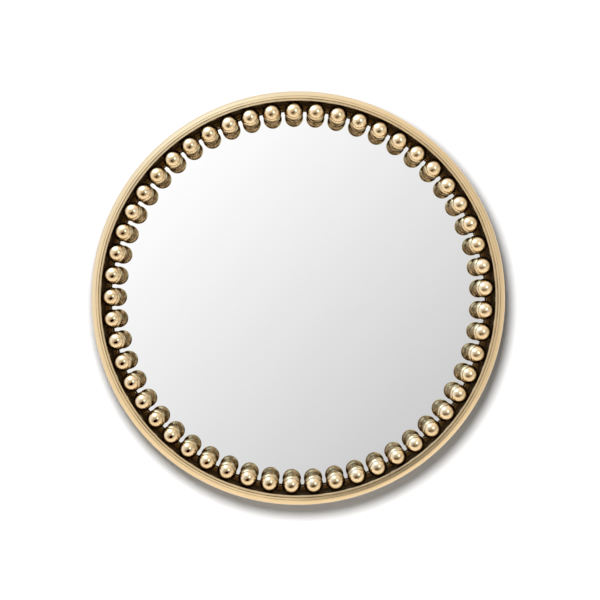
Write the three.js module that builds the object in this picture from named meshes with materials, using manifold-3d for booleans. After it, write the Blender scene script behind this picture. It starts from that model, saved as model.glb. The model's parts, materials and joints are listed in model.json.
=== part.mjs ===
// A round wall mirror whose flat glass is ringed by polished metal balls.
//
// The glass lies in a pocket behind a narrow ledge of the sheet-metal rim. The balls stand in the rim's
// channel, each on a short foot that is brazed to the channel wall, and a backing board closes the back.
// Two strap hangers on the board carry the rings that the mirror hangs from.
//
// Millimetres. The mirror faces -Y, +Z is up and +X is to the right as seen from the front. The origin is
// the centre of the backing board's rear face. Depths are Y values, so what lies further forward is lower.

import * as THREE from "three";
import { mergeVertices } from "three/addons/utils/BufferGeometryUtils.js";
import Module from "manifold-3d";

// ---------------------------------------------------------------- driving dimensions

const BALL_COUNT = 53;
const BALL_DIAMETER = 38.1; // a 1 1/2 inch ball
const BALL_GAP = 5.83; // free space between neighbouring balls
const BALL_LIFT = 5; // free height between the glass and the balls
const BALL_TO_WALL = 0.8; // between a ball and the channel wall, bridged by its foot
const FOOT_DIAMETER = 10;

const SHEET = 1.5; // thickness of the rim's metal
const RIM_WIDTH = 16.5; // from the channel wall to the rim's outer face
const SHOULDER_DEPTH = 9; // height of the rim's rounded outer edge
const STEP_HEIGHT = 0.7; // of the front band over the rounded edge
const BAND_WIDTH = 4.6;
const GROOVE_WIDTH = 1.4; // between the front band and the lip
const GROOVE_DEPTH = 1.2;
const LIP_WIDTH = 3.2;
const LIP_DEPTH = 3.2; // height of the lip's inner edge
const LIP_OVERHANG = 4.3; // how far the lip reaches in over the channel
const LEDGE_WIDTH = 3; // how far the ledge reaches over the glass
const SHELF_MARGIN = 1; // how far the board's shelf reaches past the board's edge
const HEM_WIDTH = 4; // flange at the rear edge, which lies against the wall of the room
const BACK_RECESS = 10; // depth of the backing board behind that rear edge

const GLASS_THICKNESS = 4;
const GLASS_CLEARANCE = 0.5; // around the glass in its pocket
const BOARD_THICKNESS = 9;
const BOARD_CLEARANCE = 0.6; // between the board's edge and the hem

const HANGER_INSET = 74; // from the board's edge, at the pivots' height, to a hanger's centre line
const HANGER_HEIGHT = 150; // of the ring pivots above the mirror's centre
const STRAP_THICKNESS = 1.2;
const STRAP_WIDTH = 14;
const STRAP_LENGTH = 35; // from the pivot to the strap's lower end
const KNUCKLE_WIDTH = 11; // of the curl that holds the ring's bar
const KNUCKLE_SWEEP = 300; // degrees that the curl turns round the bar
const SCREW_HOLE_DIAMETER = 4.5;
const UPPER_SCREW_DROP = 10.5; // of the upper screw hole below the pivot
const LOWER_SCREW_DROP = 28;
const RING_WIRE = 3.5; // diameter of the ring's wire
const RING_WIDTH = 21.5; // between the centre lines of the ring's arms
const RING_HEIGHT = 20; // from the ring's bar to the middle of its bow
const RING_CORNER = 3; // bend radius between the bar and the arms
const RING_CLEARANCE = 0.3; // round the bar in its knuckle

const SEAT_GAP = 0.3; // between a foot and the wall that it is brazed to

// ---------------------------------------------------------------- fineness of the facets

const RIM_FACETS = 72;
const SHOULDER_FACETS = 4;
const HOLLOW_FACETS = 2;
const LIP_FACETS = 4;
const BALL_FACETS = 12;
const BALL_BANDS = 6;
const KNUCKLE_FACETS = 10;
const STRAP_END_FACETS = 8;
const HOLE_FACETS = 12;
const RING_STEPS = 20;
const WIRE_FACETS = 8;

// ---------------------------------------------------------------- sizes that follow

// A ring of flat facets comes nearer to its axis in the middle of each facet than at the corners.
const flatShare = Math.cos(Math.PI / RIM_FACETS);

const ballRadius = BALL_DIAMETER / 2;
const ballPitch = (2 * Math.PI) / BALL_COUNT;
const ballCircle = (BALL_DIAMETER + BALL_GAP) / 2 / Math.sin(ballPitch / 2);

const wallRadius = (ballCircle + ballRadius + BALL_TO_WALL) / flatShare;
const outerRadius = wallRadius + RIM_WIDTH;
const hemRadius = outerRadius - HEM_WIDTH;
const boardRadius = hemRadius - BOARD_CLEARANCE;
const shelfRadius = boardRadius + SHELF_MARGIN;
const hangerX = Math.sqrt(boardRadius ** 2 - HANGER_HEIGHT ** 2) - HANGER_INSET;
const glassRadius = wallRadius - GLASS_CLEARANCE;
const ledgeRadius = wallRadius - LEDGE_WIDTH;
const lipInner = wallRadius - LIP_OVERHANG;
const lipOuter = lipInner + LIP_WIDTH;
const bandInner = lipOuter + GROOVE_WIDTH;
const bandOuter = bandInner + BAND_WIDTH;

const boardFront = -BOARD_THICKNESS;
const glassFront = boardFront - GLASS_THICKNESS;
const ballDepth = glassFront - BALL_LIFT - ballRadius;
const rimFront = ballDepth - ballRadius; // the rim ends level with the balls
const rimRear = BACK_RECESS;
const shoulderFront = rimFront + STEP_HEIGHT;
const shoulderRear = shoulderFront + SHOULDER_DEPTH;

const wireRadius = RING_WIRE / 2;
const knuckleInner = wireRadius + RING_CLEARANCE;
const knuckleOuter = knuckleInner + STRAP_THICKNESS;
const pivotDepth = STRAP_THICKNESS + knuckleInner;

// ---------------------------------------------------------------- helpers

const wasm = await Module();
wasm.setup();

/** Points along an ellipse's arc between two angles in degrees, with the given number of steps. */
function arcPoints(x, y, radiusX, radiusY, from, to, steps) {
  const [start, end] = [from, to].map(THREE.MathUtils.degToRad);
  return new THREE.EllipseCurve(x, y, radiusX, radiusY, start, end, end < start).getPoints(steps);
}

/** The solid that a closed geometry encloses. */
function solidOf(geometry) {
  const bare = geometry.clone();
  bare.deleteAttribute("normal");
  bare.deleteAttribute("uv");
  const merged = mergeVertices(bare, 1e-4);
  return new wasm.Manifold(
    new wasm.Mesh({
      numProp: 3,
      vertProperties: merged.attributes.position.array,
      triVerts: new Uint32Array(merged.index.array),
    }),
  );
}

/** The geometry of a solid, with flat faces. */
function geometryOf(solid) {
  const { vertProperties, triVerts } = solid.getMesh();
  const shared = new THREE.BufferGeometry();
  shared.setAttribute("position", new THREE.BufferAttribute(vertProperties, 3));
  shared.setIndex(new THREE.BufferAttribute(triVerts, 1));
  const faceted = shared.toNonIndexed();
  faceted.computeVertexNormals();
  return faceted;
}

/** A named mesh. */
function part(name, geometry, material) {
  const mesh = new THREE.Mesh(geometry, material);
  mesh.name = name;
  return mesh;
}

/** A flat disc round the Y axis. */
function disc(radius, front, rear) {
  const outline = [
    new THREE.Vector2(0, front),
    new THREE.Vector2(radius, front),
    new THREE.Vector2(radius, rear),
    new THREE.Vector2(0, rear),
  ];
  return new THREE.LatheGeometry(outline, RIM_FACETS);
}

// ---------------------------------------------------------------- finishes

function satinBrass() {
  return new THREE.MeshStandardMaterial({ color: 0xd2b283, roughness: 0.35, metalness: 1 });
}

function antiqueBrass() {
  return new THREE.MeshStandardMaterial({ color: 0xb8945e, roughness: 0.14, metalness: 1 });
}

function silveredGlass() {
  return new THREE.MeshStandardMaterial({ color: 0xe6e9e9, roughness: 0.02, metalness: 1 });
}

function blackBoard() {
  return new THREE.MeshStandardMaterial({ color: 0x2b2927, roughness: 0.85, metalness: 0 });
}

function zincSteel() {
  return new THREE.MeshStandardMaterial({ color: 0xb6b8ba, roughness: 0.3, metalness: 1 });
}

// ---------------------------------------------------------------- rim

/** The rounded lip over the channel, from the channel wall round to the groove. */
function lipOutline() {
  const halfWidth = LIP_WIDTH / 2;
  return [
    new THREE.Vector2(wallRadius, rimFront + LIP_DEPTH),
    new THREE.Vector2(lipInner, rimFront + LIP_DEPTH),
    ...arcPoints(lipInner + halfWidth, rimFront + GROOVE_DEPTH, halfWidth, GROOVE_DEPTH, 180, 360, LIP_FACETS),
  ];
}

/** The front band, the rounded edge, the outer face and the hem at the rear. */
function outerOutline() {
  const shoulderWidth = outerRadius - bandOuter;
  return [
    new THREE.Vector2(bandInner, rimFront),
    new THREE.Vector2(bandOuter, rimFront),
    ...arcPoints(bandOuter, shoulderRear, shoulderWidth, SHOULDER_DEPTH, -90, 0, SHOULDER_FACETS),
    new THREE.Vector2(outerRadius, rimRear),
    new THREE.Vector2(hemRadius, rimRear),
    new THREE.Vector2(hemRadius, rimRear - SHEET),
  ];
}

/** The hollow between the outer face and the channel wall, which is open at the back. */
function hollowOutline() {
  const hollowWidth = outerRadius - bandOuter - SHEET;
  const hollowDepth = SHOULDER_DEPTH - SHEET;
  return [
    new THREE.Vector2(outerRadius - SHEET, rimRear - SHEET),
    ...arcPoints(bandOuter, shoulderRear, hollowWidth, hollowDepth, 0, -90, HOLLOW_FACETS),
    new THREE.Vector2(wallRadius + SHEET, shoulderFront + SHEET),
  ];
}

/** The board's shelf, the glass pocket and the ledge over the glass. */
function pocketOutline() {
  return [
    new THREE.Vector2(wallRadius + SHEET, boardFront - SHEET),
    new THREE.Vector2(shelfRadius, boardFront - SHEET),
    new THREE.Vector2(shelfRadius, boardFront),
    new THREE.Vector2(wallRadius, boardFront),
    new THREE.Vector2(wallRadius, glassFront),
    new THREE.Vector2(ledgeRadius, glassFront),
    new THREE.Vector2(ledgeRadius, glassFront - SHEET),
    new THREE.Vector2(wallRadius, glassFront - SHEET),
  ];
}

function rim() {
  const outline = [...lipOutline(), ...outerOutline(), ...hollowOutline(), ...pocketOutline()];
  outline.push(outline[0].clone());
  return part("rim", new THREE.LatheGeometry(outline, RIM_FACETS), satinBrass());
}

// ---------------------------------------------------------------- glass and backing board

function mirrorGlass() {
  return part("mirror_glass", disc(glassRadius, glassFront, boardFront), silveredGlass());
}

function backingBoard() {
  return part("backing_board", disc(boardRadius, boardFront, 0), blackBoard());
}

// ---------------------------------------------------------------- balls

/** A ball about the origin, with its foot along +X. */
function ballGeometry() {
  const footRadius = FOOT_DIAMETER / 2;
  const footAngle = THREE.MathUtils.radToDeg(Math.acos(footRadius / ballRadius));
  const footEnd = ballRadius + BALL_TO_WALL - SEAT_GAP;
  const outline = [
    ...arcPoints(0, 0, ballRadius, ballRadius, -90, footAngle, BALL_BANDS),
    new THREE.Vector2(footRadius, footEnd),
    new THREE.Vector2(0, footEnd),
  ];
  outline[0].x = 0; // exactly on the axis
  return new THREE.LatheGeometry(outline, BALL_FACETS).rotateZ(-Math.PI / 2);
}

/** The ring of balls, clockwise as seen from the front, from a gap at three o'clock. */
function ballRing() {
  const ring = new THREE.Group();
  ring.position.y = ballDepth;
  const geometry = ballGeometry();
  for (let index = 0; index < BALL_COUNT; index += 1) {
    const turn = (index + 0.5) * ballPitch;
    const ball = part(`ball_${String(index + 1).padStart(2, "0")}`, geometry, antiqueBrass());
    ball.position.set(ballCircle * Math.cos(turn), 0, -ballCircle * Math.sin(turn));
    ball.rotation.y = turn;
    ring.add(ball);
  }
  return ring;
}

// ---------------------------------------------------------------- hangers

/** The flat strap below the pivot, with a rounded lower end and tapered sides at the knuckle. */
function strapSolid() {
  const half = STRAP_WIDTH / 2;
  const outline = new THREE.Shape();
  outline.moveTo(KNUCKLE_WIDTH / 2, 0);
  outline.lineTo(-KNUCKLE_WIDTH / 2, 0);
  outline.lineTo(-half, -knuckleOuter);
  outline.lineTo(-half, half - STRAP_LENGTH);
  outline.absarc(0, half - STRAP_LENGTH, half, Math.PI, 2 * Math.PI, false);
  outline.lineTo(half, -knuckleOuter);
  outline.closePath();
  const settings = { depth: STRAP_THICKNESS, bevelEnabled: false, curveSegments: STRAP_END_FACETS };
  const flat = new THREE.ExtrudeGeometry(outline, settings);
  return solidOf(flat.rotateX(Math.PI / 2).translate(0, STRAP_THICKNESS, 0));
}

/** The curl round the ring's bar, drawn with z to the right and y upwards, and given its width along X. */
function knuckleSolid() {
  const start = -90;
  const end = start + KNUCKLE_SWEEP;
  const outline = new THREE.Shape([
    new THREE.Vector2(-knuckleOuter, 0),
    ...arcPoints(0, pivotDepth, knuckleOuter, knuckleOuter, start, end, KNUCKLE_FACETS),
    ...arcPoints(0, pivotDepth, knuckleInner, knuckleInner, end, start, KNUCKLE_FACETS),
    new THREE.Vector2(-knuckleOuter, STRAP_THICKNESS),
  ]);
  const curl = new THREE.ExtrudeGeometry(outline, { depth: KNUCKLE_WIDTH, bevelEnabled: false });
  return solidOf(curl.translate(0, 0, -KNUCKLE_WIDTH / 2).rotateY(-Math.PI / 2));
}

/** A drill through the strap at the given distance below the pivot. */
function drillSolid(drop) {
  const radius = SCREW_HOLE_DIAMETER / 2;
  const drill = new THREE.CylinderGeometry(radius, radius, 3 * STRAP_THICKNESS, HOLE_FACETS);
  return solidOf(drill.translate(0, STRAP_THICKNESS / 2, -drop));
}

function strapGeometry() {
  const strap = strapSolid().add(knuckleSolid());
  const drilled = strap.subtract(drillSolid(UPPER_SCREW_DROP)).subtract(drillSolid(LOWER_SCREW_DROP));
  return geometryOf(drilled);
}

/** The middle of the ring's wire: a straight bar along X at the pivot, and a bow that hangs below it. */
class RingPath extends THREE.Curve {
  constructor() {
    super();
    const half = RING_WIDTH / 2;
    const straight = half - RING_CORNER;
    const quarter = Math.PI / 2;
    this.outline = new THREE.Path();
    this.outline.moveTo(-straight, 0);
    this.outline.lineTo(straight, 0);
    this.outline.absarc(straight, -RING_CORNER, RING_CORNER, quarter, 0, true);
    this.outline.absellipse(0, -RING_CORNER, half, RING_HEIGHT - RING_CORNER, 0, -2 * quarter, true, 0);
    this.outline.absarc(-straight, -RING_CORNER, RING_CORNER, 2 * quarter, quarter, true);
  }

  getPoint(share, target = new THREE.Vector3()) {
    const flat = this.outline.getPoint(share);
    return target.set(flat.x, 0, flat.y);
  }
}

/** A closed loop of wire has no ends, so the tube closes on itself. */
function ringGeometry() {
  return new THREE.TubeGeometry(new RingPath(), RING_STEPS, wireRadius, WIRE_FACETS, true);
}

/** A strap on the board and the ring that hangs in its knuckle, on one side of the mirror. */
function hanger(side, x) {
  const group = new THREE.Group();
  group.position.set(x, 0, HANGER_HEIGHT);
  const strap = part(`hanger_strap_${side}`, strapGeometry(), zincSteel());
  const ring = part(`hanging_ring_${side}`, ringGeometry(), zincSteel());
  ring.position.y = pivotDepth;
  group.add(strap, ring);
  return group;
}

// ---------------------------------------------------------------- the whole mirror

const mirror = new THREE.Group();
mirror.add(rim(), mirrorGlass(), backingBoard(), ballRing());
mirror.add(hanger("left", -hangerX), hanger("right", hangerX));

export default mirror;
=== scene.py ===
"""The looks of a round wall mirror with a ring of polished metal balls.

Metres. The mirror faces -Y, +Z is up and +X is to the right as seen from the front. The origin is
the centre of the backing board's rear face. Depths are Y values, so what lies further forward is
lower.
"""

import json
import math

import bmesh
import bpy
from mathutils import Matrix, Vector


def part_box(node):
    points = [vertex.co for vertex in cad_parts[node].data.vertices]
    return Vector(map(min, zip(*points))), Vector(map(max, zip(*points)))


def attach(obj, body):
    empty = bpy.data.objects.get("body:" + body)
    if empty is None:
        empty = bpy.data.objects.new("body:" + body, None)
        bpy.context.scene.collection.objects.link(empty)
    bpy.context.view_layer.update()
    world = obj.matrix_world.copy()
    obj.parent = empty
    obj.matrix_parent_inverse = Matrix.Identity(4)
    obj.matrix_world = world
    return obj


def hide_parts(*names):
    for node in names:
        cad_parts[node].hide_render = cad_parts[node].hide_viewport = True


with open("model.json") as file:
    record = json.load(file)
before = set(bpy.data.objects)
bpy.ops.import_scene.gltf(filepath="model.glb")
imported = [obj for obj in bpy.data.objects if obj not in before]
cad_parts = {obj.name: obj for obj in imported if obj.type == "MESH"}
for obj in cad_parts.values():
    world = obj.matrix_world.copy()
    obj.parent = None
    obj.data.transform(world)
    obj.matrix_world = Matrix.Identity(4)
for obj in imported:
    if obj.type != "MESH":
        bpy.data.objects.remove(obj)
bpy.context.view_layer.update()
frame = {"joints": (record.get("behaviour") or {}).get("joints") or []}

MM = 0.001

# ---------------------------------------------------------------- sizes read from the frame

RIM_LOW, RIM_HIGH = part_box("rim")
GLASS_LOW, GLASS_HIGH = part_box("mirror_glass")
BOARD_LOW, BOARD_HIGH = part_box("backing_board")

outer_radius = RIM_HIGH.x
rim_front = RIM_LOW.y
rim_rear = RIM_HIGH.y
glass_radius = GLASS_HIGH.x
glass_front = GLASS_LOW.y
glass_rear = GLASS_HIGH.y
board_radius = BOARD_HIGH.x
board_front = BOARD_LOW.y
board_rear = BOARD_HIGH.y

# ---------------------------------------------------------------- sizes of the real mirror

BALL_COUNT = 53
BALL_DIAMETER = 38.1 * MM
BALL_GAP = 5.83 * MM  # free space between neighbouring balls
BALL_TO_WALL = 0.8 * MM  # bridged by the ball's foot
FOOT_DIAMETER = 10 * MM
FOOT_BEAD = 1.2 * MM  # how far the braze spreads at either end of the foot

SHEET = 1.5 * MM  # thickness of the rim's metal
RIM_WIDTH = 16.5 * MM  # from the channel wall to the rim's outer face
SHOULDER_DEPTH = 9 * MM
STEP_HEIGHT = 0.7 * MM
BAND_WIDTH = 4.6 * MM
GROOVE_WIDTH = 1.4 * MM
GROOVE_DEPTH = 1.2 * MM
BAND_TILT = 0.25 * MM  # how much lower the band's outer edge lies
LIP_WIDTH = 3.2 * MM
LIP_DEPTH = 3.2 * MM
LIP_OVERHANG = 4.3 * MM  # how far the lip reaches in over the channel
LEDGE_WIDTH = 3 * MM  # how far the ledge reaches over the glass
HEM_WIDTH = 4 * MM
SHELF_MARGIN = 1 * MM  # how far the board's shelf reaches past the board's edge
EDGE_ROUNDING = 0.35 * MM  # of the rim's folded and turned edges
ARRIS = 0.5 * MM  # ground edge of the glass
BOARD_ROUNDING = 0.8 * MM

STRAP_THICKNESS = 1.2 * MM
STRAP_WIDTH = 14 * MM
STRAP_LENGTH = 35 * MM
KNUCKLE_WIDTH = 11 * MM  # of the curl that holds the ring's bar
KNUCKLE_SWEEP = 300  # degrees
STRAP_ROUNDING = 0.25 * MM
UPPER_SCREW_DROP = 10.5 * MM  # below the ring's pivot
LOWER_SCREW_DROP = 28 * MM
RING_WIRE = 3.5 * MM
RING_WIDTH = 21.5 * MM
RING_HEIGHT = 20 * MM
RING_CORNER = 3 * MM
RING_CLEARANCE = 0.3 * MM

BOARD_SCREWS = 12
BOARD_SCREW_INSET = 5.4 * MM  # from the board's edge to the screws' axes
SCREW_HEAD = 8 * MM
SCREW_HEAD_HEIGHT = 2.4 * MM
SCREW_HEAD_BRIM = 0.9 * MM  # height of the head's widest place
SCREW_HEAD_CHAMFER = 0.2 * MM
SCREW_SHANK = 3.5 * MM
SCREW_LENGTH = 10 * MM
SCREW_ROUNDING = 0.08 * MM
RECESS_WIDTH = 1.1 * MM
RECESS_SPAN = 4.4 * MM
RECESS_DEPTH = 1.5 * MM
RECESS_TAPER = 0.44  # what is left of the recess's width at the cutter's tip

wall_radius = outer_radius - RIM_WIDTH
hem_radius = outer_radius - HEM_WIDTH
ledge_radius = wall_radius - LEDGE_WIDTH
shelf_radius = board_radius + SHELF_MARGIN
lip_inner = wall_radius - LIP_OVERHANG
band_inner = lip_inner + LIP_WIDTH + GROOVE_WIDTH
band_outer = band_inner + BAND_WIDTH
shoulder_front = rim_front + STEP_HEIGHT
shoulder_rear = shoulder_front + SHOULDER_DEPTH

ball_radius = BALL_DIAMETER / 2
ball_pitch = 2 * math.pi / BALL_COUNT
ball_circle = (BALL_DIAMETER + BALL_GAP) / 2 / math.sin(ball_pitch / 2)
ball_depth = rim_front + ball_radius

# ---------------------------------------------------------------- camera

CAMERA_DISTANCE = 1.4136  # from the front of the glass
CAMERA_LENS = 42.0
CAMERA_ROLL = math.radians(0.35)
CAMERA_SHIFT = (0.0030, -0.0033)


def make_camera():
    data = bpy.data.cameras.new("camera")
    data.lens = CAMERA_LENS
    data.shift_x, data.shift_y = CAMERA_SHIFT
    camera = bpy.data.objects.new("camera", data)
    camera.location = (0, glass_front - CAMERA_DISTANCE, 0)
    camera.rotation_euler = (math.pi / 2, -CAMERA_ROLL, 0)
    bpy.context.scene.collection.objects.link(camera)
    bpy.context.scene.camera = camera


# ---------------------------------------------------------------- mesh helpers

SMOOTH_TURN = math.radians(25)  # turns of an outline below this one stay as they are
CORNER_SHARE = 0.4  # the most of a side that a rounded corner takes up
CORNER_STEPS = 3
ON_AXIS = 1e-7
PREFER_LARGE_FACES = 100


def arc(x, y, radius_x, radius_y, start, end, steps):
    """Points of an ellipse's arc between two angles in degrees."""
    turns = [math.radians(start + (end - start) * i / steps) for i in range(steps + 1)]
    return [(x + radius_x * math.cos(t), y + radius_y * math.sin(t)) for t in turns]


def rounded(points, radius):
    """A closed outline with each corner turned into a small arc. What is smooth stays as it is."""
    result = []
    for index, point in enumerate(points):
        corner = Vector(point)
        before = Vector(points[index - 1]) - corner
        after = Vector(points[(index + 1) % len(points)]) - corner
        turn = math.pi - before.angle(after)
        if turn < SMOOTH_TURN:
            result.append(point)
            continue
        longest = CORNER_SHARE * min(before.length, after.length)
        reach = min(radius * math.tan(turn / 2), longest)
        first = corner + before.normalized() * reach
        last = corner + after.normalized() * reach
        for step in range(CORNER_STEPS + 1):
            t = step / CORNER_STEPS
            place = first * (1 - t) ** 2 + corner * 2 * t * (1 - t) + last * t**2
            result.append(tuple(place))
    return result


def new_object(name, mesh, materials):
    piece = bpy.data.objects.new(name, mesh)
    for material in materials:
        mesh.materials.append(material)
    bpy.context.scene.collection.objects.link(piece)
    return piece


def smooth(mesh_builder, name):
    """The finished mesh of a bmesh, smooth and with its faces pointing out."""
    bmesh.ops.recalc_face_normals(mesh_builder, faces=mesh_builder.faces)
    for face in mesh_builder.faces:
        face.smooth = True
    mesh = bpy.data.meshes.new(name)
    mesh_builder.to_mesh(mesh)
    mesh_builder.free()
    return mesh


def weigh_normals(piece):
    """Keeps flat faces flat beside small rounded edges."""
    modifier = piece.modifiers.new("weighted_normals", "WEIGHTED_NORMAL")
    modifier.weight = PREFER_LARGE_FACES
    modifier.keep_sharp = True


def bevel_edges(piece, width, segments, sharp_turn):
    """Rounds the edges that turn by more than an angle in degrees."""
    modifier = piece.modifiers.new("rounded_edges", "BEVEL")
    modifier.width = width
    modifier.segments = segments
    modifier.limit_method = "ANGLE"
    modifier.angle_limit = math.radians(sharp_turn)


def evaluated_mesh(piece):
    """What a curve or a mesh with modifiers looks like in the end, as a mesh."""
    bpy.context.view_layer.update()
    graph = bpy.context.evaluated_depsgraph_get()
    return bpy.data.meshes.new_from_object(piece.evaluated_get(graph))


def apply_modifiers(piece):
    mesh = evaluated_mesh(piece)
    piece.modifiers.clear()
    piece.data = mesh


def lathe(name, outline, segments, closed=True, finish_of=None):
    """A mesh turned round the Y axis from (radius, depth) points. Points on the axis become poles.

    finish_of gives a face's material index from the radius and depth of its middle.
    """
    builder = bmesh.new()
    rings = []
    for radius, depth in outline:
        if radius < ON_AXIS:
            rings.append([builder.verts.new((0, depth, 0))])
            continue
        ring = []
        for index in range(segments):
            turn = 2 * math.pi * index / segments
            place = (radius * math.cos(turn), depth, radius * math.sin(turn))
            ring.append(builder.verts.new(place))
        rings.append(ring)
    pairs = list(zip(outline, rings))
    stops = len(pairs) if closed else len(pairs) - 1
    for index in range(stops):
        point, ring = pairs[index]
        next_point, next_ring = pairs[(index + 1) % len(pairs)]
        middle = ((point[0] + next_point[0]) / 2, (point[1] + next_point[1]) / 2)
        for side in range(segments):
            other = (side + 1) % segments
            corners = [ring[side % len(ring)], ring[other % len(ring)]]
            corners += [next_ring[other % len(next_ring)], next_ring[side % len(next_ring)]]
            corners = list(dict.fromkeys(corners))
            if len(corners) < 3:
                continue
            face = builder.faces.new(corners)
            face.material_index = finish_of(*middle) if finish_of else 0
    return smooth(builder, name)


# ---------------------------------------------------------------- node helpers

SPAN_ENTRIES = ("Value", "From Min", "From Max", "To Min", "To Max")
MIX_SOCKETS = {"RGBA": (6, 2), "FLOAT": (2, 0)}  # the Mix node's first entry and its output


class Nodes:
    """A short way to write a node tree."""

    def __init__(self, tree):
        self.tree = tree

    def add(self, kind, **settings):
        node = self.tree.nodes.new(kind)
        for name, value in settings.items():
            setattr(node, name, value)
        return node

    def link(self, output, entry):
        self.tree.links.new(output, entry)

    def feed(self, entries, values):
        """Links each value that is a socket, and sets each other one."""
        for entry, value in zip(entries, values):
            if isinstance(value, bpy.types.NodeSocket):
                self.link(value, entry)
            else:
                entry.default_value = value

    def math(self, operation, *values):
        node = self.add("ShaderNodeMath", operation=operation)
        self.feed(node.inputs, values)
        return node.outputs["Value"]

    def vector(self, operation, *values, output="Vector"):
        node = self.add("ShaderNodeVectorMath", operation=operation)
        self.feed(node.inputs, values)
        return node.outputs[output]

    def place(self, kind="Object"):
        return self.add("ShaderNodeTexCoord").outputs[kind]

    def combine(self, x, y, z):
        node = self.add("ShaderNodeCombineXYZ")
        self.feed(node.inputs, (x, y, z))
        return node.outputs["Vector"]

    def parts(self, vector):
        """The x, y and z of a vector."""
        node = self.add("ShaderNodeSeparateXYZ")
        self.link(vector, node.inputs[0])
        return node.outputs

    def noise(self, vector, scale, detail=2.0, roughness=0.5, w=None):
        node = self.add("ShaderNodeTexNoise", noise_dimensions="3D" if w is None else "4D")
        self.link(vector, node.inputs["Vector"])
        if w is not None:
            self.link(w, node.inputs["W"])
        node.inputs["Scale"].default_value = scale
        node.inputs["Detail"].default_value = detail
        node.inputs["Roughness"].default_value = roughness
        return node.outputs["Fac"]

    def span(self, value, low, high, source=(0.0, 1.0)):
        """Value, which runs over the source range, spread from low to high."""
        node = self.add("ShaderNodeMapRange")
        entries = [node.inputs[name] for name in SPAN_ENTRIES]
        self.feed(entries, (value, *source, low, high))
        return node.outputs["Result"]

    def blend(self, share, first, second, kind="RGBA"):
        """A colour, or with the kind FLOAT a number, between two, by share."""
        node = self.add("ShaderNodeMix", data_type=kind)
        entry, output = MIX_SOCKETS[kind]
        entries = (node.inputs[0], node.inputs[entry], node.inputs[entry + 1])
        self.feed(entries, (share, first, second))
        return node.outputs[output]

    def blend_shaders(self, share, first, second):
        node = self.add("ShaderNodeMixShader")
        self.feed(node.inputs, (share, first, second))
        return node.outputs[0]

    def bump(self, height, distance, strength=1.0):
        node = self.add("ShaderNodeBump")
        node.inputs["Strength"].default_value = strength
        node.inputs["Distance"].default_value = distance
        self.link(height, node.inputs["Height"])
        return node.outputs["Normal"]


def new_material(name):
    material = bpy.data.materials.new(name)
    material.use_nodes = True
    shader = material.node_tree.nodes["Principled BSDF"]
    return material, Nodes(material.node_tree), shader


def dress(nodes, shader, tone, roughness, normal, metallic=0.0):
    nodes.link(tone, shader.inputs["Base Color"])
    nodes.link(roughness, shader.inputs["Roughness"])
    nodes.link(normal, shader.inputs["Normal"])
    shader.inputs["Metallic"].default_value = metallic


def colour(red, green, blue):
    return (red, green, blue, 1.0)


# ---------------------------------------------------------------- materials
#
# The scale of a noise is in waves per metre. A pair of tones is what a surface varies between.

MICRON = 0.001 * MM

SATIN_TONES = colour(0.80, 0.575, 0.305), colour(0.86, 0.64, 0.355)
SATIN_WORN = colour(0.62, 0.43, 0.22)
# Dirt and painted shade: the rim is darkened in its groove, at the band's step and along the lip's
# inner edge.
SATIN_DIRT_AND_SHADE = colour(0.035, 0.020, 0.008)
BRUSHING_ACROSS = 2600.0
STREAKS_ACROSS = 700.0
STREAKS_DEEP = 500.0
STREAKS_ROUND = 3.0
GROOVE_SHADE_REACH = 1.5 * GROOVE_WIDTH
STEP_SHADE_REACH = 0.9 * MM
STEP_SHADE_OFFSET = 0.2 * MM
LIP_SHADE_REACH = 1.3 * MM
EDGE_SHADE = 0.7  # the step's and the lip's share of the groove's dirt and painted shade
SHADE_DEPTH = 0.4 * MM  # below the top of the rounded shoulder

# Painted shade: the channel behind the balls and the inside of the rim are given these dark brown
# tones.
CHANNEL_SHADE_TONES = colour(0.065, 0.036, 0.015), colour(0.19, 0.115, 0.055)
# Painted glints: small bright specks over the channel's painted shade, in place of reflections.
CHANNEL_PAINTED_GLINTS = colour(0.34, 0.24, 0.13)
CHANNEL_GLINT = colour(0.55, 0.36, 0.18)

PLATED_TONES = colour(0.84, 0.62, 0.355), colour(0.87, 0.66, 0.40)
PLATED_CLOUDS = colour(0.70, 0.48, 0.24)
PLATED_GLINT = colour(1.0, 0.85, 0.6)
# Patina and painted shade: the balls' edges, and darker still their sides towards the glass and
# channel, stand in for the shade and dark reflections there.
PALE_PATINA_AND_SHADE = colour(0.52, 0.365, 0.20), colour(0.30, 0.20, 0.095)
DARK_PATINA_AND_SHADE = colour(0.36, 0.24, 0.12), colour(0.13, 0.083, 0.037)
PATTERNS = 40.0  # how far the balls' own patterns lie apart in the noise
POLISH_MARKS = (1.0, 6.0, 1.0)
POLISH_TILT = math.radians(20)  # the polished cap faces a little towards the mirror's centre
POLISHED_TO = math.radians(41)  # from the middle of that cap
PATINA_AND_SHADE_FROM = math.radians(55)
REAR_TILT = math.radians(38)  # the dark patina and painted shade lie behind and next to the channel wall
DARK_FROM = (0.62, 0.40)  # shares of the ball's radius, ahead of its middle in that direction

SILVER_TONES = colour(0.925, 0.925, 0.927), colour(0.935, 0.935, 0.937)
BACK_PAINT_TONES = colour(0.13, 0.14, 0.14), colour(0.18, 0.19, 0.19)

BOARD_TONES = colour(0.016, 0.0155, 0.015), colour(0.032, 0.030, 0.028)
BOARD_RUBBED = colour(0.20, 0.15, 0.10)
BOARD_RUBBED_WIDTH = 2.5 * MM
BOARD_FIBRES = (1.0, 1.0, 3.5)

ZINC_TONES = colour(0.60, 0.62, 0.66), colour(0.68, 0.66, 0.60)
ZINC_CRYSTALS = 900.0


def ring_coordinates(nodes):
    """Object coordinates, and each place's radius, depth and the cosine and sine of its turn."""
    place = nodes.place()
    x, y, z = nodes.parts(place)
    flat = nodes.combine(x, 0.0, z)
    cosine, _, sine = nodes.parts(nodes.vector("NORMALIZE", flat))
    return place, nodes.vector("LENGTH", flat, output="Value"), y, cosine, sine


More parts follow.
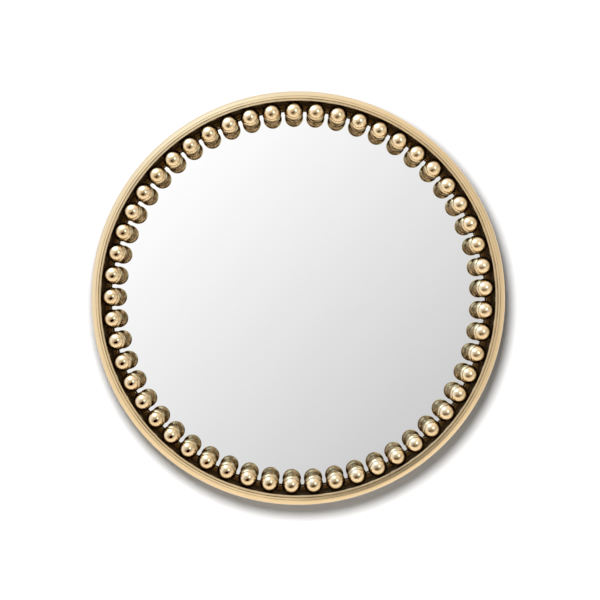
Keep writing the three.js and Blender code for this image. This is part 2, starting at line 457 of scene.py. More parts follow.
def near_radius(nodes, radius, middle, reach, whole=0.3):
    """1 up to a share of the reach from a radius, fading to 0 at the whole reach."""
    away = nodes.math("ABSOLUTE", nodes.math("SUBTRACT", radius, middle))
    return nodes.span(away, 1.0, 0.0, (whole * reach, reach))


def satin_brass():
    """Pale brass, brushed round the ring in uneven lines, with dirt and painted shade in its groove
    and corners.
    """
    material, nodes, shader = new_material("satin_brass")
    place, radius, depth, cosine, sine = ring_coordinates(nodes)

    def brushed(across, deep, detail, roughness, w):
        out, back = nodes.math("MULTIPLY", radius, across), nodes.math("MULTIPLY", depth, deep)
        stretched = nodes.combine(out, back, cosine)
        return nodes.noise(stretched, scale=1.0, detail=detail, roughness=roughness, w=w)

    lines = brushed(BRUSHING_ACROSS, BRUSHING_ACROSS, detail=3.0, roughness=0.6, w=sine)
    round_turn = nodes.math("MULTIPLY", sine, STREAKS_ROUND)
    streaks = brushed(STREAKS_ACROSS, STREAKS_DEEP, detail=2.0, roughness=0.5, w=round_turn)
    tone = nodes.blend(nodes.noise(place, scale=9.0, detail=3.0), *SATIN_TONES)
    streaked = nodes.span(streaks, low=0.0, high=0.2, source=(0.45, 0.75))
    worn = nodes.blend(streaked, tone, SATIN_WORN)

    # Dirt and painted shade, darkest in the groove and fainter at the step and the lip's inner
    # edge, on the front only.
    groove_middle = (lip_inner + LIP_WIDTH + band_inner) / 2
    grooved = near_radius(nodes, radius, groove_middle, GROOVE_SHADE_REACH)
    stepped = near_radius(nodes, radius, band_outer + STEP_SHADE_OFFSET, STEP_SHADE_REACH)
    edged = near_radius(nodes, radius, lip_inner, LIP_SHADE_REACH)
    edges = nodes.math("MULTIPLY", nodes.math("MAXIMUM", stepped, edged), EDGE_SHADE)
    front = nodes.math("LESS_THAN", depth, shoulder_front + SHADE_DEPTH)
    dirt_and_shade = nodes.math("MULTIPLY", nodes.math("MAXIMUM", grooved, edges), front)
    patchiness = nodes.noise(place, scale=30.0, detail=3.0)
    uneven = nodes.span(patchiness, low=0.55, high=1.0, source=(0.35, 0.6))
    aged_and_shaded = nodes.blend(nodes.math("MULTIPLY", dirt_and_shade, uneven), worn, SATIN_DIRT_AND_SHADE)

    rough = nodes.span(lines, low=0.26, high=0.36, source=(0.3, 0.7))
    dress(nodes, shader, aged_and_shaded, rough, nodes.bump(lines, distance=12 * MICRON), metallic=1.0)
    along = nodes.combine(nodes.math("MULTIPLY", sine, -1.0), 0.0, cosine)
    nodes.link(along, shader.inputs["Tangent"])
    shader.inputs["Coat Weight"].default_value = 0.6
    shader.inputs["Coat Roughness"].default_value = 0.25
    shader.inputs["Anisotropic"].default_value = 0.6
    shader.inputs["Anisotropic Rotation"].default_value = 0.25
    return material


def shaded_brass():
    """The channel behind the balls, painted dark brown for the shade that lies in it."""
    material, nodes, shader = new_material("shaded_brass")
    place = nodes.place()
    clouds = nodes.noise(place, scale=60.0, detail=4.0)
    specks = nodes.noise(place, scale=420.0)
    tone = nodes.blend(clouds, *CHANNEL_SHADE_TONES)
    # Painted glints: bright specks over the painted shade.
    speckled = nodes.span(specks, low=0.0, high=0.6, source=(0.62, 0.75))
    lightened = nodes.blend(speckled, tone, CHANNEL_PAINTED_GLINTS)
    rough = nodes.span(clouds, low=0.55, high=0.75)
    dress(nodes, shader, lightened, rough, nodes.bump(specks, distance=40 * MICRON), metallic=1.0)
    shader.inputs["Specular Tint"].default_value = CHANNEL_GLINT
    return material


def ahead(nodes, place, tilt):
    """How far a point of a ball is ahead of its middle, when tilted towards the mirror's centre."""
    forward = (-math.sin(tilt), -math.cos(tilt), 0.0)
    return nodes.vector("DOT_PRODUCT", place, forward, output="Value")


def antique_brass():
    """Antique brass plating, polished at the front, with brown patina and painted shade towards the
    edge and rear, each ball its own.
    """
    material, nodes, shader = new_material("antique_brass")
    place = nodes.place()
    each = nodes.add("ShaderNodeObjectInfo").outputs["Random"]
    own = nodes.math("MULTIPLY", each, PATTERNS)
    clouds = nodes.noise(place, scale=45.0, detail=3.0, w=own)
    blotches = nodes.noise(place, scale=110.0, detail=4.0, roughness=0.6, w=own)
    grain = nodes.noise(place, scale=900.0, w=own)
    marks = nodes.noise(nodes.vector("MULTIPLY", place, POLISH_MARKS), scale=160.0, w=own)

    # Patina and painted shade: browner towards the ball's edge, darkest behind and towards the
    # channel wall.
    cap = (ball_radius * math.cos(POLISHED_TO), ball_radius * math.cos(PATINA_AND_SHADE_FROM))
    patina_and_shade = nodes.span(ahead(nodes, place, POLISH_TILT), low=0.0, high=1.0, source=cap)
    rear = [share * ball_radius for share in DARK_FROM]
    behind = nodes.span(ahead(nodes, place, REAR_TILT), low=0.0, high=1.0, source=rear)
    clouded = nodes.span(clouds, low=0.0, high=0.55, source=(0.4, 0.75))
    polished = nodes.blend(clouded, nodes.blend(each, *PLATED_TONES), PLATED_CLOUDS)
    light = nodes.blend(nodes.span(blotches, low=0.0, high=1.0, source=(0.35, 0.65)), *PALE_PATINA_AND_SHADE)
    dark = nodes.blend(nodes.span(blotches, low=0.0, high=1.0, source=(0.4, 0.6)), *DARK_PATINA_AND_SHADE)
    aged_and_shaded = nodes.blend(patina_and_shade, polished, nodes.blend(behind, light, dark))

    grained = nodes.span(grain, low=0.07, high=0.13, source=(0.3, 0.7))
    dulled_sides = nodes.span(patina_and_shade, low=0.0, high=0.05)
    dulled_rear = nodes.span(behind, low=0.0, high=0.08)
    rough = nodes.math("ADD", grained, nodes.math("ADD", dulled_sides, dulled_rear))
    normal = nodes.bump(marks, distance=20 * MICRON, strength=0.4)
    dress(nodes, shader, aged_and_shaded, rough, normal, metallic=1.0)
    shader.inputs["Specular Tint"].default_value = PLATED_GLINT
    return material


def silvered_glass():
    """Clean float glass over silver, with the faintest uneven polish."""
    material, nodes, shader = new_material("silvered_glass")
    haze = nodes.noise(nodes.place(), scale=7.0, detail=4.0)
    rough = nodes.span(haze, low=0.0, high=0.02, source=(0.5, 0.8))
    normal = nodes.bump(haze, distance=2 * MICRON, strength=0.2)
    dress(nodes, shader, nodes.blend(haze, *SILVER_TONES), rough, normal, metallic=1.0)
    return material


def glass_back_paint():
    """Grey protective paint on the rear of the glass and its ground edge."""
    material, nodes, shader = new_material("glass_back_paint")
    place = nodes.place()
    peel = nodes.noise(place, scale=500.0)
    tone = nodes.blend(nodes.noise(place, scale=25.0, detail=3.0), *BACK_PAINT_TONES)
    rough = nodes.span(peel, low=0.45, high=0.65)
    dress(nodes, shader, tone, rough, nodes.bump(peel, distance=50 * MICRON))
    return material


def black_board():
    """Black painted fibreboard: pressed fibres under a thin matt coat, rubbed along the edge."""
    material, nodes, shader = new_material("black_board")
    place, radius, _, _, _ = ring_coordinates(nodes)
    stretched = nodes.vector("MULTIPLY", place, BOARD_FIBRES)
    fibres = nodes.noise(stretched, scale=260.0, detail=5.0, roughness=0.65)
    tone = nodes.blend(nodes.noise(place, scale=8.0, detail=4.0), *BOARD_TONES)
    rubbed_from = board_radius - BOARD_RUBBED_WIDTH
    edge = nodes.span(radius, low=0.0, high=0.35, source=(rubbed_from, board_radius))
    lightened = nodes.blend(nodes.math("MULTIPLY", edge, fibres), tone, BOARD_RUBBED)
    rough = nodes.span(fibres, low=0.55, high=0.85, source=(0.3, 0.7))
    dress(nodes, shader, lightened, rough, nodes.bump(fibres, distance=250 * MICRON, strength=0.6))
    return material


def zinc_steel():
    """Bright zinc plating with its faint crystals and a blue and straw tint."""
    material, nodes, shader = new_material("zinc_steel")
    place = nodes.place()
    crystals = nodes.add("ShaderNodeTexVoronoi")
    nodes.link(place, crystals.inputs["Vector"])
    crystals.inputs["Scale"].default_value = ZINC_CRYSTALS
    tone = nodes.blend(nodes.noise(place, scale=120.0, detail=3.0), *ZINC_TONES)
    rough = nodes.span(crystals.outputs["Distance"], low=0.22, high=0.40)
    normal = nodes.bump(nodes.noise(place, scale=2200.0), distance=20 * MICRON)
    dress(nodes, shader, tone, rough, normal, metallic=1.0)
    return material


SATIN_BRASS = satin_brass()
SHADED_BRASS = shaded_brass()
ANTIQUE_BRASS = antique_brass()
SILVERED_GLASS = silvered_glass()
GLASS_BACK_PAINT = glass_back_paint()
BLACK_BOARD = black_board()
ZINC_STEEL = zinc_steel()

# ---------------------------------------------------------------- light linking


def collection(name):
    group = bpy.data.collections.new(name)
    bpy.context.scene.collection.children.link(group)
    return group


# Each light of the studio falls only on the surfaces in one of these collections.
receives_front_lights = collection("receives_front_lights")
receives_rim_lights = collection("receives_rim_lights")
receives_ball_lights = collection("receives_ball_lights")
receives_glass_lights = collection("receives_glass_lights")
receives_wall_lights = collection("receives_wall_lights")

# ---------------------------------------------------------------- rim

RIM_SEGMENTS = 288
LIP_STEPS = 12
SHOULDER_STEPS = 16
HOLLOW_STEPS = 8
GROOVE_SLOPE = GROOVE_WIDTH / 3  # width of the groove's outer side, which leans
CHANNEL_MARGIN = 0.1 * MM


def rim_outline():
    """The rim's section, from the channel wall round lip, band and shoulder to hem and ledge."""
    half_lip = LIP_WIDTH / 2
    lip_rear = rim_front + LIP_DEPTH
    shoulder = (outer_radius - band_outer, SHOULDER_DEPTH)
    hollow = [reach - SHEET for reach in shoulder]
    section = [(wall_radius, lip_rear), (lip_inner, lip_rear)]
    lip_middle = (lip_inner + half_lip, rim_front + GROOVE_DEPTH)
    section += arc(*lip_middle, half_lip, GROOVE_DEPTH, 180, 360, LIP_STEPS)
    section += [(band_inner - GROOVE_SLOPE, rim_front + GROOVE_DEPTH)]
    section += [(band_inner, rim_front), (band_outer, rim_front + BAND_TILT)]
    section += arc(band_outer, shoulder_rear, *shoulder, -90, 0, SHOULDER_STEPS)
    section += [(outer_radius, rim_rear), (hem_radius, rim_rear), (hem_radius, rim_rear - SHEET)]
    section += [(outer_radius - SHEET, rim_rear - SHEET)]
    section += arc(band_outer, shoulder_rear, *hollow, 0, -90, HOLLOW_STEPS)
    section += [(wall_radius + SHEET, shoulder_front + SHEET)]
    section += [(wall_radius + SHEET, board_front - SHEET), (shelf_radius, board_front - SHEET)]
    section += [(shelf_radius, board_front), (wall_radius, board_front)]
    section += [(wall_radius, glass_front), (ledge_radius, glass_front)]
    section += [(ledge_radius, glass_front - SHEET), (wall_radius, glass_front - SHEET)]
    section += [(wall_radius, ball_depth)]
    return rounded(section, EDGE_ROUNDING)


def rim_finish(radius, depth):
    """0 for the brushed outside, 1 for the channel and the inside of the rim, both painted dark for
    shade.
    """
    in_channel = radius < wall_radius + CHANNEL_MARGIN and depth > ball_depth
    across = max(radius - band_outer, 0) / (outer_radius - band_outer - SHEET / 2)
    forward = max(shoulder_rear - depth, 0) / (SHOULDER_DEPTH - SHEET / 2)
    under_shoulder = depth > shoulder_front + SHEET / 2 and across**2 + forward**2 < 1
    return 1 if in_channel or (radius > wall_radius and under_shoulder) else 0


def make_rim():
    mesh = lathe("rim_ring", rim_outline(), RIM_SEGMENTS, finish_of=rim_finish)
    rim = new_object("rim_ring", mesh, [SATIN_BRASS, SHADED_BRASS])
    weigh_normals(rim)
    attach(rim, "root")
    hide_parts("rim")
    receives_rim_lights.objects.link(rim)


# ---------------------------------------------------------------- glass and board


def disc_outline(radius, front, rear, rounding):
    """Half the section of a disc, from pole to pole, with its outer corners rounded."""
    corners = rounded([(0, front), (radius, front), (radius, rear), (0, rear)], rounding)
    return [(0, front)] + [point for point in corners if point[0] > radius / 2] + [(0, rear)]


def glass_finish(radius, depth):
    """0 for the silvered front, 1 for the painted edge and rear."""
    return 0 if depth < glass_front + ARRIS / 4 else 1


def make_glass():
    outline = disc_outline(glass_radius, glass_front, glass_rear, ARRIS)
    mesh = lathe("glass_disc", outline, RIM_SEGMENTS, closed=False, finish_of=glass_finish)
    glass = new_object("glass_disc", mesh, [SILVERED_GLASS, GLASS_BACK_PAINT])
    weigh_normals(glass)
    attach(glass, "root")
    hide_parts("mirror_glass")
    receives_front_lights.objects.link(glass)
    receives_glass_lights.objects.link(glass)


def make_board():
    outline = disc_outline(board_radius, board_front, board_rear, BOARD_ROUNDING)
    mesh = lathe("board_disc", outline, RIM_SEGMENTS, closed=False)
    board = new_object("board_disc", mesh, [BLACK_BOARD])
    weigh_normals(board)
    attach(board, "root")
    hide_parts("backing_board")


# ---------------------------------------------------------------- balls

BALL_SEGMENTS = 48
BALL_STEPS = 36


def ball_mesh():
    """A ball about the origin with its foot along +Y. The braze flares at both ends of the foot."""
    foot = FOOT_DIAMETER / 2
    start = math.degrees(math.acos((foot + FOOT_BEAD) / ball_radius))
    foot_end = ball_radius + BALL_TO_WALL
    ball = arc(0, 0, ball_radius, ball_radius, -90, start, BALL_STEPS)
    ball[0] = (0, -ball_radius)
    waist = [(foot, (ball[-1][1] + foot_end) / 2), (foot + FOOT_BEAD / 2, foot_end), (0, foot_end)]
    return lathe("polished_ball", ball + waist, BALL_SEGMENTS, closed=False)


def make_balls():
    mesh = ball_mesh()
    mesh.transform(Matrix.Rotation(-math.pi / 2, 4, "Z"))
    mesh.materials.append(ANTIQUE_BRASS)
    for index in range(BALL_COUNT):
        turn = (index + 0.5) * ball_pitch
        number = f"{index + 1:02d}"
        ball = new_object(f"polished_ball_{number}", mesh, [])
        ball.location = (ball_circle * math.cos(turn), ball_depth, -ball_circle * math.sin(turn))
        ball.rotation_euler = (0, turn, 0)
        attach(ball, "root")
        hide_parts(f"ball_{number}")
        receives_front_lights.objects.link(ball)
        receives_ball_lights.objects.link(ball)


# ---------------------------------------------------------------- screws

SCREW_SEGMENTS = 40
DOME_STEPS = 10
SCREW_TURN = 1.7  # radians from one board screw's cross to the next one's
UPPER_SCREW_TURN = 15.45
LOWER_SCREW_TURN = 31.2


def recess_cutter():
    """A cross that narrows towards its bottom, to cut the driver's recess."""
    builder = bmesh.new()
    for width, span in ((RECESS_WIDTH, RECESS_SPAN), (RECESS_SPAN, RECESS_WIDTH)):
        top, bottom = [], []
        for x, z in ((-1, -1), (1, -1), (1, 1), (-1, 1)):
            top.append(builder.verts.new((x * width / 2, 2 * RECESS_DEPTH, z * span / 2)))
            tip = (x * width * RECESS_TAPER / 2, -RECESS_DEPTH, z * span * RECESS_TAPER / 2)
            bottom.append(builder.verts.new(tip))
        builder.faces.new(top)
        builder.faces.new(bottom)
        for side in range(4):
            other = (side + 1) % 4
            builder.faces.new((top[side], top[other], bottom[other], bottom[side]))
    mesh = smooth(builder, "recess_cutter")
    mesh.transform(Matrix.Translation((0, SCREW_HEAD_HEIGHT, 0)))
    return bpy.data.objects.new("recess_cutter", mesh)


def screw_mesh():
    """A pan-head screw whose head sits on the XZ plane and rises along +Y."""
    head, shank = SCREW_HEAD / 2, SCREW_SHANK / 2
    dome = arc(0, SCREW_HEAD_BRIM, head, SCREW_HEAD_HEIGHT - SCREW_HEAD_BRIM, 0, 90, DOME_STEPS)
    dome[-1] = (0, SCREW_HEAD_HEIGHT)
    outline = [(0, -SCREW_LENGTH), (shank, 2 * shank - SCREW_LENGTH), (shank, 0)]
    outline += [(head - SCREW_HEAD_CHAMFER, 0), (head, SCREW_HEAD_CHAMFER)] + dome
    screw = new_object("screw", lathe("screw", outline, SCREW_SEGMENTS, closed=False), [ZINC_STEEL])
    cutter = recess_cutter()
    bpy.context.scene.collection.objects.link(cutter)
    cut = screw.modifiers.new("recess", "BOOLEAN")
    cut.operation = "DIFFERENCE"
    cut.use_self = True
    cut.object = cutter
    bevel_edges(screw, SCREW_ROUNDING, segments=2, sharp_turn=35)
    weigh_normals(screw)
    apply_modifiers(screw)
    mesh = screw.data
    bpy.data.objects.remove(screw)
    bpy.data.objects.remove(cutter)
    return mesh


def make_screw(name, mesh, place, turn):
    screw = new_object(name, mesh, [])
    screw.location = place
    screw.rotation_euler = (0, turn, 0)
    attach(screw, "root")


def make_board_screws(mesh):
    circle = board_radius - BOARD_SCREW_INSET
    for index in range(BOARD_SCREWS):
        turn = 2 * math.pi * (index + 0.5) / BOARD_SCREWS
        place = (circle * math.cos(turn), board_rear, circle * math.sin(turn))
        make_screw(f"board_screw_{index + 1:02d}", mesh, place, SCREW_TURN * index)


# ---------------------------------------------------------------- hangers

STRAP_STATIONS = 14  # round the strap's lower end
STRAP_TIP = 0.25  # the first of them, so that the tip isn't a point
CURL_STATIONS = 36
BAR_POINTS = 12
BEND_POINTS = 10
BOW_POINTS = 48
WIRE_STEPS = 6


def strap_stations():
    """Places up the strap and round its curl: (depth, height, half width) of the metal's middle."""
    half = STRAP_WIDTH / 2
    knuckle_half = KNUCKLE_WIDTH / 2
    middle = STRAP_THICKNESS / 2
    curl = RING_WIRE / 2 + RING_CLEARANCE + middle
    stations = []
    for step in range(STRAP_STATIONS):
        turn = math.pi / 2 * (1 - (step + STRAP_TIP) / STRAP_STATIONS)
        height = half - STRAP_LENGTH - half * math.sin(turn)
        stations.append((middle, height, half * math.cos(turn)))
    stations.append((middle, half - STRAP_LENGTH, half))
    stations.append((middle, -curl - middle, half))
    for step in range(CURL_STATIONS + 1):
        turn = math.radians(KNUCKLE_SWEEP * step / CURL_STATIONS - 90)
        depth = middle + curl + curl * math.sin(turn)
        stations.append((depth, curl * math.cos(turn), knuckle_half))
    return stations


def strap_mesh():
    """A bent strip of even thickness about the pivot's height, given by its stations."""
    stations = strap_stations()
    builder = bmesh.new()
    rows = []
    for index, (depth, height, half) in enumerate(stations):
        before = stations[max(index - 1, 0)]
        after = stations[min(index + 1, len(stations) - 1)]
        along = Vector((after[0] - before[0], after[1] - before[1])).normalized()
        outward = Vector((along.y, -along.x)) * STRAP_THICKNESS / 2
        corners = []
        for side, face in ((-1, -1), (1, -1), (1, 1), (-1, 1)):
            place = (side * half, depth + face * outward.x, height + face * outward.y)
            corners.append(builder.verts.new(place))
        rows.append(corners)
    for lower, upper in zip(rows, rows[1:]):
        for side in range(4):
            other = (side + 1) % 4
            builder.faces.new((lower[side], lower[other], upper[other], upper[side]))
    builder.faces.new(rows[0])
    builder.faces.new(rows[-1])
    return smooth(builder, "strap")


def make_strap(side, place):
    strap = new_object(f"bent_strap_{side}", strap_mesh(), [ZINC_STEEL])
    bevel_edges(strap, STRAP_ROUNDING, segments=3, sharp_turn=50)
    weigh_normals(strap)
    apply_modifiers(strap)
    strap.location = place
    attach(strap, "root")
    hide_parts(f"hanger_strap_{side}")


def ring_path():
    """The middle of the ring's wire: a straight bar along X and a bow below it."""
    half = RING_WIDTH / 2
    straight = half - RING_CORNER
    bow = RING_HEIGHT - RING_CORNER
    path = [(-straight + 2 * straight * i / BAR_POINTS, 0) for i in range(BAR_POINTS)]
    path += arc(straight, -RING_CORNER, RING_CORNER, RING_CORNER, 90, 0, BEND_POINTS)[:-1]
    path += arc(0, -RING_CORNER, half, bow, 0, -180, BOW_POINTS)[:-1]
    path += arc(-straight, -RING_CORNER, RING_CORNER, RING_CORNER, 180, 90, BEND_POINTS)[:-1]
    return path


def make_ring(side, pivot, body):
    path = ring_path()
    curve = bpy.data.curves.new(f"wire_ring_{side}", "CURVE")
    curve.dimensions = "3D"
    curve.bevel_depth = RING_WIRE / 2
    curve.bevel_resolution = WIRE_STEPS
    spline = curve.splines.new("POLY")
    spline.points.add(len(path) - 1)
    spline.use_cyclic_u = True
    for point, (x, z) in zip(spline.points, path):
        point.co = (x, 0, z, 1)
    drawn = bpy.data.objects.new("wire", curve)
    bpy.context.scene.collection.objects.link(drawn)
    mesh = evaluated_mesh(drawn)
    bpy.data.objects.remove(drawn)
    for polygon in mesh.polygons:
        polygon.use_smooth = True
    ring = new_object(f"wire_ring_{side}", mesh, [ZINC_STEEL])
    ring.location = pivot
    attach(ring, body)
    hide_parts(f"hanging_ring_{side}")


def make_hangers(mesh):
    for joint in frame["joints"]:
        side = joint["child"].split("_")[0]
        x, depth, height = joint["pos_m"]
        make_strap(side, (x, board_rear, height))
        make_ring(side, (x, depth, height), joint["child"])
        upper = ("upper", UPPER_SCREW_DROP, UPPER_SCREW_TURN)
        lower = ("lower", LOWER_SCREW_DROP, LOWER_SCREW_TURN)
        for level, drop, turn in (upper, lower):
            place = (x, board_rear + STRAP_THICKNESS, height - drop)
            make_screw(f"strap_screw_{side}_{level}", mesh, place, turn)


# ---------------------------------------------------------------- studio

WALL_SIZE = 2.6
WALL_HOLE = hem_radius - 8 * MM  # behind the mirror, so that the rear views see the board
WALL_GAP = 0.5 * MM
WALL_STEPS = 144
WALL_TONE = (0.50, 0.50, 0.50)
WALL_GRAIN = 60.0
FLOOR_DROP = 0.9
FLOOR_SIZE = 3.2
FLOOR_TONE = (0.34, 0.337, 0.331)
FLOOR_GRAIN = 40.0
PAINT_SHADE = 0.985  # the darker of the two tones in the grain of the paint

WALL_LIGHT_PLACE = (-0.13, -0.95, 0.30)
WALL_LIGHT_RADIUS = 0.24
WALL_LIGHT_POWER = 91.0

# The studio that glass and metal show gets brighter along a slope, from the far lower right to the
# far upper left. The tones are (place on the slope, brightness).
MIRRORED_SLOPE = (-0.687, 0.0, 0.726)
ROOM_TONES = (
    (-1.00, 0.72),
    (-0.80, 0.88),
    (-0.60, 0.95),
    (-0.42, 0.72),
    (-0.26, 0.65),
    (0.00, 0.86),
    (0.26, 1.08),
    (0.60, 1.15),
    (1.00, 1.20),
)
BRIGHTEST = 2.0  # the curve holds shares of this
SKY_RANGE = (0.25, 0.70)  # where on the slope the studio's light turns from white to daylight
SKY_TINT = (0.90, 1.04, 1.30)
WALL_FILL = 0.02  # light from the room in front, on painted surfaces
REAR_FILL = 0.85  # and from the room behind
BACKGROUND = 1.0  # what the camera sees past the wall

WHITE = (1.0, 1.0, 1.0)
DAYLIGHT = (0.40, 0.70, 1.0)
SHADE = (0.90, 0.95, 1.0)
OVERHEAD_PLACE = (-0.47, -0.62, 0.85)
SIDE_WINDOW_PLACE = (1.1, -1.5, 0.5)
WINDOW_PLACE = (0.64, -1.5, 0.31)
MIRROR_MIDDLE = (0, 0, 0)

POWER_PER_AREA = 4  # of a panel with a radiance of 1
ANY = 0.5  # tells a count of one or more, or a flag that is set, from zero


def plain_material(name, tone, scale):
    material, nodes, shader = new_material(name)
    grain = nodes.noise(nodes.place(), scale, detail=3.0)
    darker = colour(*(PAINT_SHADE * channel for channel in tone))
    nodes.link(nodes.blend(grain, darker, colour(*tone)), shader.inputs["Base Color"])
    nodes.link(nodes.span(grain, low=0.85, high=0.95), shader.inputs["Roughness"])
    shader.inputs["Specular IOR Level"].default_value = 0.1
    return material, nodes, shader


def wall_material():
    """White paint, which metal and glass show as a plain white glow: a painted reflection without
    the shadow on it.

    From behind it is see-through, so that the mirror's back can be looked at.
    """
    material, nodes, shader = plain_material("pale_wall", WALL_TONE, WALL_GRAIN)
    path = nodes.add("ShaderNodeLightPath").outputs
    # Painted reflection: to glossy rays that no painted surface scattered first, the wall is a
    # white glow, in its shadow too.
    unpainted = nodes.math("LESS_THAN", path["Diffuse Depth"], ANY)
    mirrored = nodes.math("MULTIPLY", path["Is Glossy Ray"], unpainted)
    glow_in_reflections = nodes.add("ShaderNodeEmission").outputs[0]
    front = nodes.blend_shaders(mirrored, shader.outputs[0], glow_in_reflections)
    rear = nodes.add("ShaderNodeNewGeometry").outputs["Backfacing"]
    sides = nodes.blend_shaders(rear, front, nodes.add("ShaderNodeBsdfTransparent").outputs[0])
    nodes.link(sides, nodes.tree.nodes["Material Output"].inputs["Surface"])
    return material


def make_wall():
    """The wall that the mirror hangs on, with a hole behind the mirror."""
    depth = rim_rear + WALL_GAP
    builder = bmesh.new()
    inner, outer = [], []
    for index in range(WALL_STEPS):
        turn = 2 * math.pi * index / WALL_STEPS
        x, z = math.cos(turn), math.sin(turn)
        reach = WALL_SIZE / 2 / max(abs(x), abs(z))
        inner.append(builder.verts.new((WALL_HOLE * x, depth, WALL_HOLE * z)))
        outer.append(builder.verts.new((reach * x, depth, max(reach * z, -FLOOR_DROP))))
    for index in range(WALL_STEPS):
        other = (index + 1) % WALL_STEPS
        builder.faces.new((inner[other], inner[index], outer[index], outer[other]))
    mesh = bpy.data.meshes.new("wall")
    builder.to_mesh(mesh)
    builder.free()
    wall = new_object("wall", mesh, [wall_material()])
    if mesh.polygons[0].normal.y > 0:
        mesh.flip_normals()
    receives_wall_lights.objects.link(wall)


def make_floor():
    builder = bmesh.new()
    half = FLOOR_SIZE / 2
    corners = [(-half, -half), (half, -half), (half, half), (-half, half)]
    builder.faces.new([builder.verts.new((x, y, -FLOOR_DROP)) for x, y in corners])
    mesh = bpy.data.meshes.new("floor")
    builder.to_mesh(mesh)
    builder.free()
    material, _, _ = plain_material("pale_floor", FLOOR_TONE, FLOOR_GRAIN)
    floor = new_object("floor", mesh, [material])
    receives_wall_lights.objects.link(floor)


def new_light(name, kind, energy, place, receivers):
    """A light and the nodes of its strength."""
    data = bpy.data.lights.new(name, kind)
    data.energy = energy
    data.use_nodes = True
    light = bpy.data.objects.new(name, data)
    light.location = place
    bpy.context.scene.collection.objects.link(light)
    light.light_linking.receiver_collection = receivers
    nodes = Nodes(data.node_tree)
    return light, nodes, nodes.tree.nodes["Emission"].inputs["Strength"]


def make_wall_light():
    """The broad light from the upper left that draws the mirror's soft shadow.

    Its strength makes up for distance and slant, so that the wall is as evenly lit as the photo's.
    """
    light, nodes, strength = new_light(
        "wall_light", "POINT", WALL_LIGHT_POWER, WALL_LIGHT_PLACE, receives_wall_lights
    )
    light.data.shadow_soft_size = WALL_LIGHT_RADIUS
    falloff = nodes.add("ShaderNodeLightFalloff")
    falloff.inputs["Strength"].default_value = 1.0
    reach = nodes.add("ShaderNodeLightPath").outputs["Ray Length"]
    further = nodes.math("DIVIDE", reach, -WALL_LIGHT_PLACE[1])
    nodes.link(nodes.math("MULTIPLY", falloff.outputs["Constant"], further), strength)


def make_panel(
    name, receivers, centre, size, radiance, target=MIRROR_MIDDLE, tint=WHITE, softness=0.3, depth=0
):
    """A flat oval of light, or of darkness where its radiance is negative, with a fading edge.

    Before the surface that it lights, the view must have met as many others as the depth says: 2
    keeps it out of the glass, but not out of the glass that is seen in a ball's mirror image.
    """
    width, height = size
    power = POWER_PER_AREA * width * height * radiance
    panel, nodes, strength = new_light(name, "AREA", power, centre, receivers)
    panel.rotation_euler = (Vector(target) - Vector(centre)).to_track_quat("-Z", "Y").to_euler()
    panel.data.shape = "RECTANGLE"
    panel.data.size, panel.data.size_y = size
    panel.data.color = tint
    parts = nodes.parts(nodes.add("ShaderNodeNewGeometry").outputs["Parametric"])
    across = [nodes.span(parts[axis], low=-1.0, high=1.0) for axis in (0, 1)]
    reach = nodes.math("SQRT", nodes.math("ADD", *(nodes.math("MULTIPLY", a, a) for a in across)))
    share = nodes.span(reach, low=1.0, high=0.0, source=(1.0 - softness, 1.0))
    met = nodes.add("ShaderNodeLightPath").outputs["Ray Depth"]
    counted = nodes.math("GREATER_THAN", met, depth + ANY)
    nodes.link(nodes.math("MULTIPLY", share, counted), strength)


def make_panels():
    """What the metal shows of the studio: softboxes, windows and the dark places between them."""
    make_panel(
        "overhead_box",
        receives_front_lights,
        centre=OVERHEAD_PLACE,
        size=(1.4, 1.1),
        radiance=1.7,
        tint=DAYLIGHT,
        softness=0.5,
    )
    make_panel(
        "overhead_box_on_rim",
        receives_rim_lights,
        centre=OVERHEAD_PLACE,
        size=(1.0, 0.8),
        radiance=0.4,
        tint=DAYLIGHT,
    )
    make_panel(
        "side_window_on_rim",
        receives_rim_lights,
        centre=SIDE_WINDOW_PLACE,
        size=(1.0, 1.0),
        radiance=0.22,
    )
    make_panel(
        "figure_on_rim",
        receives_rim_lights,
        centre=(0.3, -0.9, -0.62),
        target=(0.3, 0, -0.62),
        size=(0.7, 0.7),
        radiance=-0.62,
    )
    direct = ("", receives_ball_lights, 0)
    mirrored = ("_mirrored", receives_glass_lights, 2)
    for name, receivers, depth in (direct, mirrored):
        make_panel(
            "window" + name,
            receivers,
            centre=WINDOW_PLACE,
            size=(0.9, 1.0),
            radiance=2.0,
            tint=DAYLIGHT,
            softness=0.6,
            depth=depth,
        )
        make_panel(
            "figure" + name,
            receivers,
            centre=(-0.24, -0.9, -0.52),
            target=(-0.24, 0, -0.52),
            size=(2.2, 2.2),
            radiance=-0.80,
            tint=SHADE,
            softness=1.0,
            depth=depth,
        )


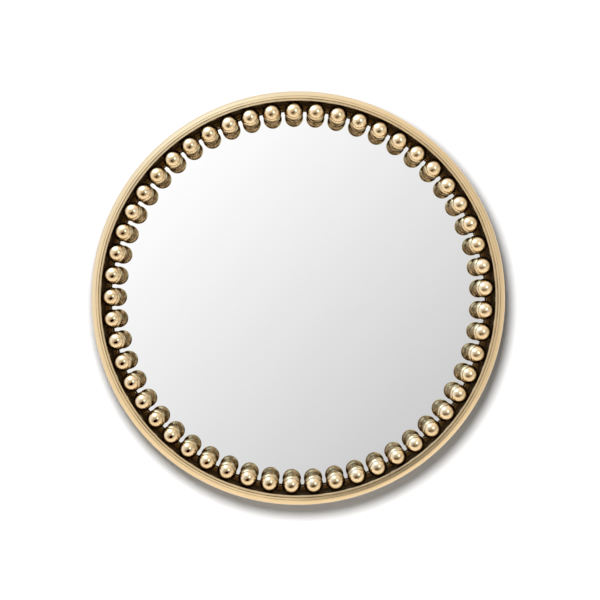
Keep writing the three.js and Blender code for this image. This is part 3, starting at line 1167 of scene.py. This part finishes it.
def room_curve(nodes, along):
    """The studio's brightness at a place along the mirrored slope, from -1 to 1."""
    ramp = nodes.add("ShaderNodeFloatCurve")
    points = ramp.mapping.curves[0].points
    for place, value in ROOM_TONES[1:-1]:
        points.new((place + 1) / 2, value / BRIGHTEST)
    points[0].location = (0.0, ROOM_TONES[0][1] / BRIGHTEST)
    points[-1].location = (1.0, ROOM_TONES[-1][1] / BRIGHTEST)
    for point in points:
        point.handle_type = "VECTOR"
    ramp.mapping.update()
    nodes.link(nodes.span(along, low=0.0, high=1.0, source=(-1.0, 1.0)), ramp.inputs["Value"])
    return nodes.math("MULTIPLY", ramp.outputs[0], BRIGHTEST)


def make_world():
    """The room: tones for metal and glass, fill for painted surfaces, white for the camera."""
    world = bpy.data.worlds.new("studio")
    world.use_nodes = True
    world.cycles.sampling_method = "NONE"
    bpy.context.scene.world = world
    nodes = Nodes(world.node_tree)
    direction = nodes.place("Generated")
    along = nodes.vector("DOT_PRODUCT", direction, MIRRORED_SLOPE, output="Value")
    path = nodes.add("ShaderNodeLightPath").outputs
    behind = nodes.math("GREATER_THAN", nodes.parts(direction)[1], 0.0)
    fill = nodes.span(behind, WALL_FILL, REAR_FILL)
    painted = nodes.math("GREATER_THAN", path["Diffuse Depth"], ANY)
    lit = nodes.blend(painted, room_curve(nodes, along), fill, kind="FLOAT")
    seen = nodes.blend(path["Is Camera Ray"], lit, BACKGROUND, kind="FLOAT")
    background = world.node_tree.nodes["Background"]
    nodes.link(seen, background.inputs["Strength"])
    share = nodes.span(along, low=0.0, high=1.0, source=SKY_RANGE)
    unseen = nodes.math("LESS_THAN", path["Is Camera Ray"], ANY)
    tint = nodes.blend(nodes.math("MULTIPLY", share, unseen), colour(*WHITE), colour(*SKY_TINT))
    nodes.link(tint, background.inputs["Color"])


def make_studio():
    make_world()
    make_wall()
    make_floor()
    make_wall_light()
    make_panels()
    scene = bpy.context.scene
    scene.view_settings.view_transform = "Standard"
    scene.view_settings.look = "None"


# ---------------------------------------------------------------- the whole mirror

make_camera()
make_rim()
make_glass()
make_board()
make_balls()
common_screw = screw_mesh()
make_board_screws(common_screw)
make_hangers(common_screw)
make_studio()
